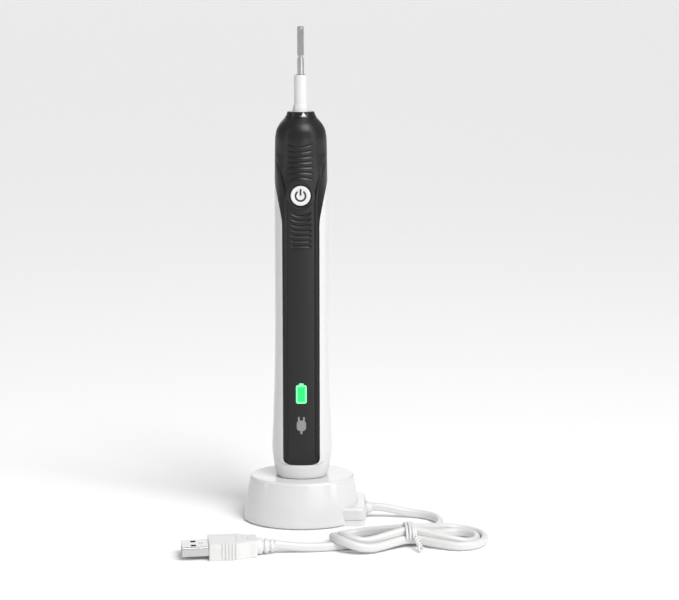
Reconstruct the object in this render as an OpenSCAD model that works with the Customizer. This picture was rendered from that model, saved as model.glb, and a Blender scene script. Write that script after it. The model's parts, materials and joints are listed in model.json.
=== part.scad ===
// Electric toothbrush handle standing on its induction charger, with the charger's USB lead.
// Millimetres. The origin is the centre of the charger's underside, +Z is up, the handle's
// front faces -Y and the lead leaves the charger along +X.

/* [Charger] */
// Length of the oval base at the floor
charger_len = 57; // [56:0.5:59]
// Width of the oval base at the floor
charger_wid = 42.4; // [42:0.2:44]
// Height of the deck that the handle stands on
charger_h = 22; // [21:0.5:23]
// Thickness of the charger's walls
charger_wall = 1.8; // [1.6:0.1:2]
// Height of the post above the deck
post_h = 15; // [14:0.5:15.5]
// Height of the seam between the base cover and the housing
seam_z = 2.8; // [2.6:0.1:3]

/* [Handle] */
// Height of the handle without its shaft and neck
body_h = 171.5; // [171:0.1:172]
// Width of the handle where it is thickest
belly_w = 28.5; // [28.2:0.1:29]
// Width of the handle at the button
waist_w = 24.9; // [24.7:0.1:25.2]
// Width of the black head
head_w = 24.1; // [23.9:0.1:24.4]
// Thickness of the black grip
grip_t = 0.9; // [0.8:0.1:1]
// Width of the black front panel
panel_w = 17.4; // [17:0.1:17.6]
// Diameter of the power button
button_d = 9.2; // [8.8:0.1:9.2]
// Diameter of the drive shaft where the brush head sits
shaft_d = 3; // [2.98:0.01:3.02]
// Diameter of the drive shaft inside the handle
journal_d = 3.5; // [3.48:0.01:3.52]

/* [Motion] */
// How far the button travels
button_travel = 0.4; // [0.3:0.05:0.4]

/* [Lead] */
// Diameter of the cord
cord_d = 3.8; // [3.6:0.1:3.9]
// Width of the USB shell
usb_w = 12; // [12:0.1:12.1]
// Thickness of the USB shell
usb_t = 4.5; // [4.5:0.1:4.6]

/* [Hidden] */
$fn = 64;

// Charger
oval = charger_wid / charger_len;
base_r = charger_len / 2;
deck_r = base_r * 0.87;
deck_edge = 1;
skirt_z = 0.6;
post_size = [9, 7.5];
post_corner = 2.2;
tail_x = 14;
tail_end = 30.8;
tail_half = 14.5;
tail_h = 8.8;
exit_z = 5;
gland_r = 3;
gland_len = 2.8;
exit_x = tail_end + gland_len;
cover_inset = 0.25;
board_z = 8;

// Handle: height and radius of its outside, from the foot to the head's top
flat_depth = 1.5;
handle_wall = 2.3;
belly_r = belly_w / 2;
waist_r = waist_w / 2;
head_r = head_w / 2;
collar_r = 7.3;
handle_profile = [
    [0, belly_r - 2.5], [0.8, belly_r - 1.85], [10.4, belly_r - 0.2], [14.2, belly_r],
    [30, belly_r - 0.6], [54, waist_r + 0.4], [85, waist_r + 0.05], [115, waist_r],
    [142.6, head_r + 0.25], [161, head_r], [165, head_r - 0.55], [168, head_r - 1.85],
    [body_h, collar_r]
];
function handle_r(z) = lookup(z, handle_profile);

cap_h = 7.4;
spigot_h = 3.6;
spigot_r = 10.55;
coil_space_r = 9.75;
well_gap = 0.45;
well_depth = post_h + 0.6;
cup_wall = 1.2;
cavity_z = 12;
ceiling_z = 160;
panel_z = 7.6;
panel_top_z = 120;
head_z = 141.4;

button_z = 136;
button_front = 11.1;
button_back = 9.95;
battery_icon_z = 41.9;
plug_icon_z = 26.8;

board_back = 6.6;
board_t = 1;
battery_y = 1.9;
battery_r = 7;
battery_z = 24;
battery_len = 49;
stator_z = 76.7;
pole_z = stator_z + 23;
magnet_z = pole_z + 0.6;
plate_z = magnet_z + 3;
hub_z = plate_z + 2;
anchor_z = 122;
anchor_h = 5;

shaft_r = shaft_d / 2;
notch_r = 1.1;
journal_r = journal_d / 2;
shaft_bore_r = 2.1;
running = 0.05;
neck_r = 3.1;
neck_top = 191.1;
notch_z = 198.8;
blade_z = 200;
shaft_top = 213.3;
bush_r = 2.6;
bush_z = 176;
bush_h = 8;
seal_h = 2.6;

// Lead: its route as it lies, chosen by hand, from the gland to the tie and from the tie to
// the plug, and the hank between them
lead_route = [
    [exit_x, 0, 5], [39, 0, 4.8], [45, 0, 3.6], [51, 0, 2.3], [57, -0.8, 1.9],
    [62, -3.8, 1.9], [65.4, -8.8, 1.9], [66.2, -14.8, 1.9], [64.8, -20.6, 1.9],
    [61.8, -25.8, 1.9], [58.4, -30.2, 2], [54.9, -34, 2.6]
];
tie_at = [50, -41];
hank_turn = 7;
hank_reach = 37.5;
lobe_r = 14.7;
waist_half = 6;
hank_h = 8.4;
tail_route = [
    [40, -43.6, 2.6], [33, -45.6, 1.9], [26, -47.8, 1.9], [18, -50, 1.9], [10, -51.8, 1.9],
    [2, -53, 2.1], [-5, -53.9, 3], [-11.6, -54.8, 3.9]
];
plug_at = [-11.6, -54.8, 3.9];
plug_turn = 187;
relief_len = 8;
rear_w = 10.4;
plug_w = 15.5;
plug_t = 7.8;
rear_len = 5;
shoulder_len = 3.5;
grip_len = 13.5;
plug_len = rear_len + shoulder_len + grip_len;
shell_len = 12;
shell_root = 3;
shell_wall = 0.35;
tie_wire = 1.3;

// ---- shared shapes ----

// A rectangle with round corners, centred
module round_rect(wid, dep, r) {
    square([wid - 2 * r, dep], center = true);
    square([wid, dep - 2 * r], center = true);
    for (x = [-1, 1], y = [-1, 1])
        translate([x * (wid / 2 - r), y * (dep / 2 - r)]) circle(r, $fn = 32);
}

// A rectangle standing on y = 0 with its two upper corners rounded
module round_top(wid, h, r) {
    translate([-wid / 2, 0]) square([wid, h - r]);
    translate([-wid / 2 + r, 0]) square([wid - 2 * r, h]);
    for (x = [-1, 1]) translate([x * (wid / 2 - r), h - r]) circle(r, $fn = 32);
}

// A block with round upright corners and a softened top
module soft_block(wid, dep, h, corner, crown) {
    intersection() {
        linear_extrude(h) round_rect(wid, dep, corner);
        rotate([90, 0, 0]) linear_extrude(dep + 2, center = true)
            round_top(wid + 0.2, h, crown);
        rotate([90, 0, 90]) linear_extrude(wid + 2, center = true)
            round_top(dep + 0.2, h, crown);
    }
}

// A ring between two radii
module ring(outer, inner, h) {
    rotate_extrude() translate([inner, 0]) square([outer - inner, h]);
}

// A tube of cord swept along its route, with eight flats
cord_sides = 8;
function unit(v) = v / norm(v);
function heading(route, i) =
    unit(route[min(i + 1, len(route) - 1)] - route[max(i - 1, 0)]);
function sideways(t) = unit(cross([0, 0, 1], t));
function cord_ring(route, i) =
    let (t = heading(route, i), s = sideways(t), u = cross(t, s))
    [for (k = [0:cord_sides - 1])
        let (a = 360 * k / cord_sides)
        route[i] + cord_d / 2 * (cos(a) * s + sin(a) * u)];
module cord_tube(route) {
    last = (len(route) - 1) * cord_sides;
    polyhedron(
        points = [for (i = [0:len(route) - 1]) each cord_ring(route, i)],
        faces = concat(
            [[for (k = [0:cord_sides - 1]) k]],
            [for (i = [0:len(route) - 2], k = [0:cord_sides - 1])
                let (a = i * cord_sides + k, b = i * cord_sides + (k + 1) % cord_sides)
                [b, a, a + cord_sides, b + cord_sides]],
            [[for (k = [cord_sides - 1:-1:0]) last + k]]
        )
    );
}

// ---- charger ----

// The charger's oval body from z0 up to z1, moved in all round by inset
function charger_r(z) = base_r + (deck_r - base_r) * z / charger_h;
module charger_oval(z0, z1, inset, edge) {
    scale([1, oval, 1]) rotate_extrude($fn = 96) polygon([
        [0, z0], [charger_r(z0) - inset, z0], [charger_r(z1 - edge) - inset, z1 - edge],
        [charger_r(z1) - inset - edge, z1], [0, z1]
    ]);
}

// The block at the back that the lead leaves
module tail_block(z0, z1, inset) {
    intersection() {
        translate([tail_end / 2 - inset, 0, 0])
            soft_block(tail_end, 2 * (tail_half - inset), tail_h - inset, 3.4, 1.6);
        translate([tail_x, -20, z0]) cube([20, 40, z1 - z0]);
    }
}

module gland_hole() {
    translate([tail_x + 10, 0, exit_z]) rotate([0, 90, 0]) cylinder(r = gland_r, h = 20);
}

module charger_housing() {
    color("white") difference() {
        union() {
            charger_oval(skirt_z, charger_h, 0, deck_edge);
            tail_block(seam_z, tail_h, 0);
            translate([0, 0, seam_z])
                soft_block(post_size[0], post_size[1], charger_h + post_h - seam_z,
                           post_corner, 2);
        }
        charger_oval(0, charger_h - charger_wall, charger_wall, deck_edge);
        tail_block(0, tail_h, charger_wall);
        translate([tail_x, -tail_half, 0]) cube([20, 2 * tail_half, seam_z]);
        gland_hole();
        cylinder(r = 2.2, h = charger_h + post_h - charger_wall);
    }
}

module charger_base_cover() {
    color("white") difference() {
        union() {
            charger_oval(0, seam_z, charger_wall + 0.1, 0.3);
            tail_block(0, seam_z, cover_inset);
            for (x = [-14, 14], y = [-8, 8])
                translate([x, y, seam_z]) cylinder(r = 2, h = board_z - seam_z);
        }
        gland_hole();
        feet_discs();
    }
}

module feet_discs() {
    for (x = [-17, 17], y = [-9, 9]) translate([x, y, 0]) cylinder(r = 3.5, h = 0.8);
}

module charger_feet() {
    color("dimgray") feet_discs();
}

module coil_bobbin() {
    color("ivory") translate([0, 0, 12]) {
        ring(3.4, 2.4, 7.8);
        for (z = [0, 7]) translate([0, 0, z]) ring(10, 2.4, 0.8);
    }
}

module primary_coil() {
    color("peru") translate([0, 0, 12.9]) ring(9.5, 3.5, 6);
}

module ferrite_core() {
    color("dimgray") {
        translate([0, 0, 10]) cylinder(r = 2.1, h = charger_h + post_h - charger_wall - 10.2);
        translate([0, 0, 10.8]) cylinder(r = 9, h = 1.1);
    }
}

module charger_board() {
    color("darkgreen") translate([0, 0, board_z]) linear_extrude(1.2)
        round_rect(34, 22, 2);
}

module charger_board_chips() {
    color("black") translate([0, 0, board_z + 1.2]) {
        for (x = [-14, 11]) translate([x, -7, 0]) cube([4, 5, 1.2]);
        translate([-14, 3, 0]) cube([3, 2, 1]);
        translate([12, 3, 0]) cube([3, 4, 1.4]);
    }
}

module supply_wires() {
    for (i = [0, 1]) color(i == 0 ? "red" : "black")
        translate([13, (i - 0.5) * 2, 6.3]) rotate([0, 90, 0]) cylinder(r = 0.6, h = 15.2);
}

module cord_gland() {
    color("whitesmoke") translate([0, 0, exit_z]) rotate([0, 90, 0]) {
        translate([0, 0, 28.2]) cylinder(r = 2.9, h = exit_x - 28.2 - 1.6);
        translate([0, 0, exit_x - 1.6]) cylinder(r1 = 2.9, r2 = 2.4, h = 1.6);
        translate([0, 0, tail_end + 0.1]) cylinder(r = 3.5, h = 0.7);
    }
}

// ---- lead and plug ----

module cord_lead() {
    color("whitesmoke") cord_tube(lead_route);
}

module cord_tail() {
    color("whitesmoke") cord_tube(tail_route);
}

// The folded cord: two round-ended lobes that narrow to the tied waist
module cord_hank() {
    lobe_x = hank_reach - lobe_r;
    color("whitesmoke") translate(tie_at) rotate([0, 0, hank_turn]) difference() {
        linear_extrude(hank_h) for (s = [-1, 1]) scale([s, 1]) {
            translate([lobe_x, 0]) circle(lobe_r);
            polygon([[-1, waist_half], [-1, -waist_half], [2.5, -waist_half],
                     [lobe_x - 3, -lobe_r + 0.4], [lobe_x - 3, lobe_r - 0.4],
                     [2.5, waist_half]]);
        }
        translate([-2.2, -10, -1]) cube([4.4, 20, tie_wire + 1.1]);
    }
}

module cord_tie() {
    color("white") translate(tie_at) rotate([0, 0, hank_turn]) difference() {
        translate([-2, -waist_half - tie_wire - 0.1, 0])
            cube([4, 2 * (waist_half + tie_wire + 0.1), hank_h + tie_wire + 0.1]);
        translate([-3, -waist_half - 0.1, tie_wire])
            cube([6, 2 * waist_half + 0.2, hank_h - tie_wire + 0.1]);
    }
}

// Places plug parts: drawn along +X from the cord's end, with the axis at mid thickness
module on_plug() {
    translate(plug_at) rotate([0, 0, plug_turn]) children();
}

module usb_strain_relief() {
    color("white") on_plug() rotate([0, 90, 0]) {
        cylinder(r1 = 2.5, r2 = 3, h = relief_len);
        for (i = [0:2]) translate([0, 0, 0.6 + i * 2.6]) cylinder(r = 3 + 0.3 * i, h = 1.5);
    }
}

module plug_outline() {
    a = rear_w / 2;
    b = plug_w / 2;
    x1 = rear_len;
    x2 = rear_len + shoulder_len;
    polygon([
        [0, -a + 0.8], [0.8, -a], [x1, -a], [x1 + 1.2, -a - 0.7], [x2 - 0.8, -b + 0.5],
        [x2, -b], [plug_len - 0.8, -b], [plug_len, -b + 0.8], [plug_len, b - 0.8],
        [plug_len - 0.8, b], [x2, b], [x2 - 0.8, b - 0.5], [x1 + 1.2, a + 0.7], [x1, a],
        [0.8, a], [0, a - 0.8]
    ]);
}

module usb_overmould() {
    color("white") on_plug() translate([relief_len, 0, 0]) difference() {
        translate([0, 0, -plug_t / 2]) linear_extrude(plug_t) plug_outline();
        translate([plug_len - shell_root, -usb_w / 2, -usb_t / 2])
            cube([shell_root + 1, usb_w, usb_t]);
        for (s = [-1, 1], i = [0:5])
            translate([rear_len + shoulder_len + 1.5 + i * 1.5, s * plug_w / 2, 0])
                cube([0.6, 0.8, plug_t + 1], center = true);
    }
}

module usb_shell() {
    color("silver") on_plug() translate([relief_len + plug_len - shell_root, 0, 0])
        difference() {
            translate([0, -usb_w / 2, -usb_t / 2])
                cube([shell_root + shell_len, usb_w, usb_t]);
            translate([-1, -usb_w / 2 + shell_wall, -usb_t / 2 + shell_wall])
                cube([shell_root + shell_len + 2, usb_w - 2 * shell_wall,
                      usb_t - 2 * shell_wall]);
            for (y = [-2.9, 2.9]) translate([shell_root + shell_len - 5.2, y, 0])
                cube([2.3, 2.3, usb_t + 1], center = true);
        }
}

module usb_tongue() {
    color("black") on_plug() translate([relief_len + plug_len - shell_root, 0, 0]) {
        translate([0.2, -5.4, -usb_t / 2 + 0.45]) cube([2, 10.8, usb_t - 0.9]);
        translate([0.2, -5.4, -0.1]) cube([shell_root + shell_len - 1.2, 10.8, 1.8]);
    }
}

module usb_contacts() {
    color("gold") on_plug() translate([relief_len + plug_len - shell_root + 5, 0, 0])
        for (i = [0:3]) translate([0, -4 + i * 2.4, -0.35]) cube([8, 0.9, 0.25]);
}

// ---- handle ----

module on_charger() {
    translate([0, 0, charger_h]) children();
}

// The handle's outside from z0 to z1, moved in by inset, with its flat front
module handle_form(z0, z1, inset) {
    levels = concat([z0], [for (p = handle_profile) if (p[0] > z0 && p[0] < z1) p[0]], [z1]);
    intersection() {
        rotate_extrude($fn = 96) polygon(concat(
            [[0, z0]], [for (z = levels) [handle_r(z) - inset, z]], [[0, z1]]));
        rotate([90, 0, 90]) linear_extrude(40, center = true) polygon(concat(
            [[20, z0]],
            [for (z = levels) [-handle_r(z) + flat_depth + inset, z]],
            [[20, z1]]));
    }
}

// Everything inside the black grip's outline: the front panel, the V and the whole head
module grip_zone() {
    half = panel_w / 2;
    rotate([90, 0, 0]) linear_extrude(30) {
        polygon([
            [-half, panel_z + 3], [half, panel_z + 3], [half, panel_top_z],
            [half + 0.5, 125], [half + 1.4, 131], [half + 2.5, 137], [half + 3.9, head_z],
            [20, head_z], [20, 180], [-20, 180], [-20, head_z], [-half - 3.9, head_z],
            [-half - 2.5, 137], [-half - 1.4, 131], [-half - 0.5, 125], [-half, panel_top_z]
        ]);
        translate([-half + 3, panel_z]) square([2 * half - 6, 4]);
        for (s = [-1, 1]) translate([s * (half - 3), panel_z + 3]) circle(3, $fn = 32);
    }
    translate([-20, -1, head_z]) cube([40, 30, 40]);
}

module button_hole(r, depth_y) {
    translate([0, -depth_y, button_z]) rotate([90, 0, 0]) cylinder(r = r, h = 20);
}

module front_grip() {
    color("#1c1c1e") on_charger() difference() {
        intersection() {
            handle_form(panel_z - 1, body_h, 0);
            grip_zone();
        }
        handle_form(panel_z - 2, body_h + 1, grip_t);
        button_hole(button_d / 2 + 0.4, 5);
        battery_icon(0.05);
        plug_icon(0.05);
        for (i = [0:6]) translate([-5.5, -20, 144.6 + i * 2.35]) cube([11, 9.75, 0.9]);
        for (i = [0:5]) translate([-4.5, -20, 112.5 + i * 2.35]) cube([9, 9.45, 0.9]);
    }
}

module handle_housing() {
    color("white") on_charger() difference() {
        handle_form(cap_h, body_h, 0);
        difference() {
            grip_zone();
            handle_form(0, body_h + 1, grip_t);
        }
        translate([0, 0, cap_h - 1]) cylinder(r = spigot_r + 0.05, h = spigot_h + 2);
        handle_form(cavity_z, ceiling_z, handle_wall);
        cylinder(r = 4.2, h = 200);
        button_hole(button_d / 2 + 0.5, 9.2);
        button_hole(1.9, 5);
        battery_icon(0.05);
        plug_icon(0.05);
    }
}

module base_cap() {
    well = post_size + [2 * well_gap, 2 * well_gap];
    color("white") on_charger() difference() {
        union() {
            handle_form(0, cap_h, 0);
            cylinder(r = spigot_r, h = cap_h + spigot_h);
        }
        difference() {
            translate([0, 0, 2]) cylinder(r = coil_space_r, h = 20);
            linear_extrude(30) round_rect(well[0] + 2 * cup_wall, well[1] + 2 * cup_wall,
                                          post_corner + well_gap + cup_wall);
        }
        translate([0, 0, -1]) linear_extrude(30)
            round_rect(well[0], well[1], post_corner + well_gap);
        translate([0, 0, cap_h + 1.4]) ring(spigot_r + 1, spigot_r - 0.5, 1.3);
    }
    color("white") on_charger() difference() {
        linear_extrude(well_depth + cup_wall)
            round_rect(well[0] + 2 * cup_wall, well[1] + 2 * cup_wall,
                       post_corner + well_gap + cup_wall);
        translate([0, 0, -1]) linear_extrude(well_depth + 1)
            round_rect(well[0], well[1], post_corner + well_gap);
    }
}

module base_seal() {
    color("dimgray") on_charger() translate([0, 0, cap_h + 2.05])
        rotate_extrude() translate([spigot_r - 0.2, 0]) circle(0.25, $fn = 24);
}

module charging_coil() {
    color("peru") on_charger() translate([0, 0, 2.4]) ring(9.5, 7.4, 7);
}

module top_collar() {
    color("#1c1c1e") on_charger() rotate_extrude() polygon([
        [4.15, body_h], [7.25, body_h], [7, body_h + 0.8], [6.3, body_h + 2.8],
        [4.15, body_h + 2.8]
    ]);
}

module collar_mark() {
    color("white") on_charger() intersection() {
        translate([1.5, -4, body_h + 1]) rotate([90, 0, 0]) linear_extrude(6)
            polygon([[-1.1, -0.1], [1.2, -0.1], [-0.2, 1.7]]);
        rotate_extrude() polygon([
            [7, body_h + 0.8], [7.15, body_h + 0.8], [6.45, body_h + 2.8], [6.3, body_h + 2.8]
        ]);
    }
}

module shaft_neck() {
    color("white") on_charger() rotate_extrude() polygon([
        [shaft_bore_r, ceiling_z - 1.8], [5.6, ceiling_z - 1.8], [5.6, ceiling_z], [4.1, ceiling_z],
        [4.1, 174.3], [3.9, 174.6], [neck_r + 0.1, 177.5], [neck_r, 178],
        [neck_r, neck_top - 0.4], [neck_r - 0.3, neck_top], [bush_r, neck_top],
        [bush_r, neck_top - seal_h], [shaft_bore_r, neck_top - seal_h],
        [shaft_bore_r, bush_z + bush_h], [bush_r, bush_z + bush_h], [bush_r, bush_z],
        [shaft_bore_r, bush_z]
    ]);
}

module upper_bush() {
    color("peru") on_charger() translate([0, 0, bush_z])
        ring(bush_r, journal_r + running, bush_h);
}

module shaft_seal() {
    color("dimgray") on_charger() translate([0, 0, neck_top - seal_h])
        ring(bush_r, journal_r + running, seal_h);
}

// Cuts a shape off behind the circuit board
module behind_board() {
    intersection() {
        children();
        translate([-20, -6.3, 0]) cube([40, 40, 200]);
    }
}

module chassis() {
    color("lightgray") on_charger() {
        intersection() {
            translate([0, 0, 21]) ring(9.95, 9.3, anchor_z + anchor_h - 21);
            translate([-20, 1, 0]) cube([40, 20, 200]);
        }
        for (z = [[21, 2.3], [battery_z + battery_len + 1.6, 2]])
            behind_board() translate([0, 0, z[0]]) cylinder(r = 9.3, h = z[1]);
    }
}

module battery() {
    color("steelblue") on_charger() translate([0, battery_y, battery_z]) {
        cylinder(r = battery_r, h = battery_len);
        cylinder(r = 2.6, h = battery_len + 0.8);
    }
}

module battery_tabs() {
    color("silver") on_charger() for (z = [battery_z - 0.6, battery_z + battery_len + 0.9])
        translate([-3, battery_y - 7, z]) cube([6, 11, 0.5]);
}

module circuit_board() {
    color("darkgreen") on_charger() translate([-5.5, -board_back - board_t, 22])
        cube([11, board_t, 120]);
}

module board_chips() {
    color("black") on_charger() for (z = [58, 72, 90, 100, 118])
        translate([-2.5, -board_back - board_t - 0.7, z]) cube([5, 0.7, 5]);
}

module status_leds() {
    color("white") on_charger() for (z = [plug_icon_z, battery_icon_z])
        translate([-1, -board_back - board_t - 0.8, z - 0.8]) cube([2, 0.8, 1.6]);
}

module tact_switch() {
    color("silver") on_charger() translate([0, -board_back - board_t, button_z])
        rotate([90, 0, 0]) difference() {
            translate([-2.5, -2.5, 0]) cube([5, 5, 0.65]);
            cylinder(r = 1.4, h = 5);
        }
}

module battery_icon(grow) {
    translate([0, -5, battery_icon_z]) rotate([90, 0, 0]) linear_extrude(20) {
        round_rect(5 + 2 * grow, 8.8 + 2 * grow, 0.9);
        translate([0, 4.6]) square([2 + 2 * grow, 1.2 + 2 * grow], center = true);
    }
}

module plug_icon(grow) {
    translate([0, -5, plug_icon_z]) rotate([90, 0, 0]) linear_extrude(20) {
        round_rect(4.4 + 2 * grow, 5 + 2 * grow, 1.6);
        for (x = [-1.2, 1.2]) translate([x, 3]) square([0.8 + 2 * grow, 2.4], center = true);
        translate([0, -3]) square([1 + 2 * grow, 2], center = true);
    }
}

// What an icon keeps of the handle's front wall
module front_wall() {
    difference() {
        handle_form(20, 60, 0.02);
        handle_form(19, 61, 2);
    }
}

module battery_light() {
    color("limegreen") on_charger() intersection() {
        battery_icon(0);
        front_wall();
    }
}

module plug_light() {
    color("gray") on_charger() intersection() {
        plug_icon(0);
        front_wall();
    }
}

module stator_core() {
    color("gray") on_charger() translate([0, 0, stator_z]) {
        translate([-8, -4.5, 0]) cube([16, 9, 4]);
        for (x = [-8, -1.8, 5.6]) translate([x, -4.5, 3.9])
            cube([x == -1.8 ? 3.6 : 2.4, 9, pole_z - stator_z - 3.9]);
    }
}

module stator_coil() {
    color("peru") on_charger() translate([0, 0, stator_z + 4.5]) difference() {
        translate([-5.3, -6, 0]) cube([10.6, 12, 17.5]);
        translate([-1.9, -4.6, -1]) cube([3.8, 9.2, 20]);
    }
}

module drive_magnets() {
    color("silver") on_charger() for (x = [-6.6, 0.6]) translate([x, -4, magnet_z])
        cube([6, 8, plate_z - magnet_z]);
}

module magnet_carrier() {
    color("gray") on_charger() {
        translate([-7, -4.2, plate_z]) cube([14, 8.4, hub_z - plate_z]);
        translate([0, 0, hub_z]) ring(3.2, journal_r, 3);
    }
}

module flexure_springs() {
    color("silver") on_charger() for (x = [-7.6, 3.8]) translate([x, -0.25, hub_z + 0.5])
        cube([3.8, 0.5, anchor_z - hub_z - 0.5]);
}

module spring_anchor() {
    color("gray") on_charger() behind_board() translate([0, 0, anchor_z])
        ring(9.25, 3, anchor_h);
}

module lower_bush() {
    color("peru") on_charger() translate([0, 0, anchor_z])
        ring(3, journal_r + running, anchor_h);
}

module drive_shaft() {
    color("silver") on_charger() difference() {
        rotate_extrude() polygon([
            [0, hub_z], [journal_r, hub_z], [journal_r, neck_top], [shaft_r, neck_top],
            [shaft_r, notch_z], [notch_r, notch_z], [notch_r, blade_z], [shaft_r, blade_z],
            [shaft_r, shaft_top - 0.4], [shaft_r - 0.4, shaft_top], [0, shaft_top]
        ]);
        translate([-3, -3, blade_z]) cube([6, 2.2, 12.2]);
    }
}

// ---- button ----

module power_button() {
    color("white") on_charger() translate([0, 0, button_z]) rotate([90, 0, 0]) {
        translate([0, 0, button_back]) cylinder(r = button_d / 2, h = button_front - button_back);
        translate([0, 0, 8.7]) cylinder(r = 1.6, h = 1.4);
    }
}

module power_symbol() {
    color("black") on_charger() translate([0, -button_front, button_z]) rotate([90, 0, 0])
        linear_extrude(0.08) {
            difference() {
                circle(2.7);
                circle(1.95);
                translate([-1.3, 0]) square([2.6, 4]);
            }
            translate([-0.38, 0.2]) square([0.76, 3]);
        }
}

module switch_plunger() {
    color("black") on_charger() translate([0, 0, button_z]) rotate([90, 0, 0])
        translate([0, 0, board_back + board_t + button_travel + 0.05])
            cylinder(r = 1.2, h = 0.6);
}

charger_housing();
charger_base_cover();
charger_feet();
coil_bobbin();
primary_coil();
ferrite_core();
charger_board();
charger_board_chips();
supply_wires();
cord_gland();
cord_lead();
cord_hank();
cord_tail();
cord_tie();
usb_strain_relief();
usb_overmould();
usb_shell();
usb_tongue();
usb_contacts();
base_cap();
base_seal();
charging_coil();
handle_housing();
front_grip();
top_collar();
collar_mark();
shaft_neck();
upper_bush();
shaft_seal();
chassis();
battery();
battery_tabs();
circuit_board();
board_chips();
status_leds();
tact_switch();
battery_light();
plug_light();
stator_core();
stator_coil();
flexure_springs();
spring_anchor();
lower_bush();
power_button();
power_symbol();
switch_plunger();
drive_shaft();
magnet_carrier();
drive_magnets();
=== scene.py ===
"""The looks of an electric toothbrush standing on its charger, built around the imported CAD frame.

Everything is in metres in the frame's own axes: +Z up, the handle's front faces -Y, and the
charger's lead leaves along +X.
"""
import json
import math

import bmesh
import bpy
from mathutils import Matrix, Vector


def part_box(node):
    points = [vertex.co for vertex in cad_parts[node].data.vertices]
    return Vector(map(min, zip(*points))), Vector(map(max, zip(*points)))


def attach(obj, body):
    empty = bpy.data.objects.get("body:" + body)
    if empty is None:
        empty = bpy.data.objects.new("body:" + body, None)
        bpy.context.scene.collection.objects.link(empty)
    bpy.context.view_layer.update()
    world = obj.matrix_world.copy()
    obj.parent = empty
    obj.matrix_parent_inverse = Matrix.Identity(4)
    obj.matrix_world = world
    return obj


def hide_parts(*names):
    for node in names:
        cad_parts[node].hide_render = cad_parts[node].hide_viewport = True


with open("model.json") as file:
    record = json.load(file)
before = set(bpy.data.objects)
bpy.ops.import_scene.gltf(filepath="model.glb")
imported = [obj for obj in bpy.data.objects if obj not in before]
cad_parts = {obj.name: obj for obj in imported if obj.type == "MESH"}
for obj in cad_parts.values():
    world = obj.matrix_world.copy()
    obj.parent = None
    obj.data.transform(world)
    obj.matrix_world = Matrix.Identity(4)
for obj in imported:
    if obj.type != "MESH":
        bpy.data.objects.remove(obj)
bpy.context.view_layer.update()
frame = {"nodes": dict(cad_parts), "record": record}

MM = 0.001
# points in a ring of the charger and of the base cap
AROUND = 144

# Camera and floor
LENS = 98
SENSOR_WIDTH = 36
CAMERA_EYE = (0.018, -0.86, 0.268)
CAMERA_TARGET = (0.018, 0.0, 0.107)
FLOOR_REACH = 30
FLOOR_DROP = 0.0001

# Charger: the oval narrows by OVAL_TAPER from the floor to the deck
DECK_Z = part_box("base_cap")[0][2]
POST_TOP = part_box("charger_housing")[1][2]
OVAL_A = -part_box("charger_housing")[0][0]
OVAL_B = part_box("charger_housing")[1][1]
TAIL_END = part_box("charger_housing")[1][0]
SEAM_Z = 2.8 * MM
TAIL_HALF = 14.5 * MM
TAIL_H = 8.8 * MM
POST_SIZE = (9.0 * MM, 7.5 * MM)
POST_CORNER = 2.2 * MM
POST_TAPER = 0.45 * MM
OVAL_TAPER = 0.13
CHARGER_WALL = 1.8 * MM

# Handle. Heights are above the deck, and the lists are in millimetres.
BODY_H = 171.5 * MM
FLAT_DEPTH = 1.5 * MM
PANEL_CROWN = 0.32 * MM
# (height, radius of the outside)
HANDLE_PROFILE = [
    (0.0, 11.75), (0.8, 12.4), (10.4, 14.05), (14.2, 14.25), (30.0, 13.65), (54.0, 12.85),
    (85.0, 12.5), (115.0, 12.45), (142.6, 12.3), (161.0, 12.05), (165.0, 11.5),
    (168.0, 10.2), (171.5, 7.3),
]
# (height, distance from the middle to the front strip's edge)
CREASE = [
    (0, 8.4), (7.0, 8.4), (9.5, 6.4), (120, 6.4), (131, 6.3), (136, 6.4), (140.5, 7.2),
    (145, 8.6), (150, 10.1), (154, 11.0), (158, 12.0), (171.5, 12.6),
]
CHANNEL_OUT = 0.35
CHANNEL_WIDTH = 0.4
# (height, half the width of the black panel)
PANEL_HALF = [(0, 8.7), (121, 8.7), (124, 8.85), (128, 9.5), (133, 10.5), (136, 11.1)]
# (height, degrees from the front that the black grip reaches round to)
BACK_ARCH = [
    (136, 63.9), (138.5, 71), (140.5, 78.5), (142.3, 89), (143.7, 103), (144.8, 125),
    (145.6, 151), (146, 180),
]
ARCH_FROM = 136 * MM
ARCH_TOP = 146 * MM
# (height of a groove's middle, how far its ends turn up)
UPPER_GROOVES = [
    (158.7, 1.5), (156.35, 0.9), (154.0, 0.5), (151.65, 0.25), (149.3, 0.0), (146.95, -0.4),
    (144.6, -1.1),
]
LOWER_GROOVES = [
    (126.6, 1.5), (124.25, 1.1), (121.9, 0.8), (119.55, 0.5), (117.2, 0.3), (114.85, 0.15),
    (112.5, 0.0),
]
# grooves, half their length and their depth
GROOVE_SETS = ((UPPER_GROOVES, 5.8, 0.55), (LOWER_GROOVES, 4.8, 0.62))
GROOVE_ABOVE = 0.36
GROOVE_BELOW = 0.66
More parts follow.
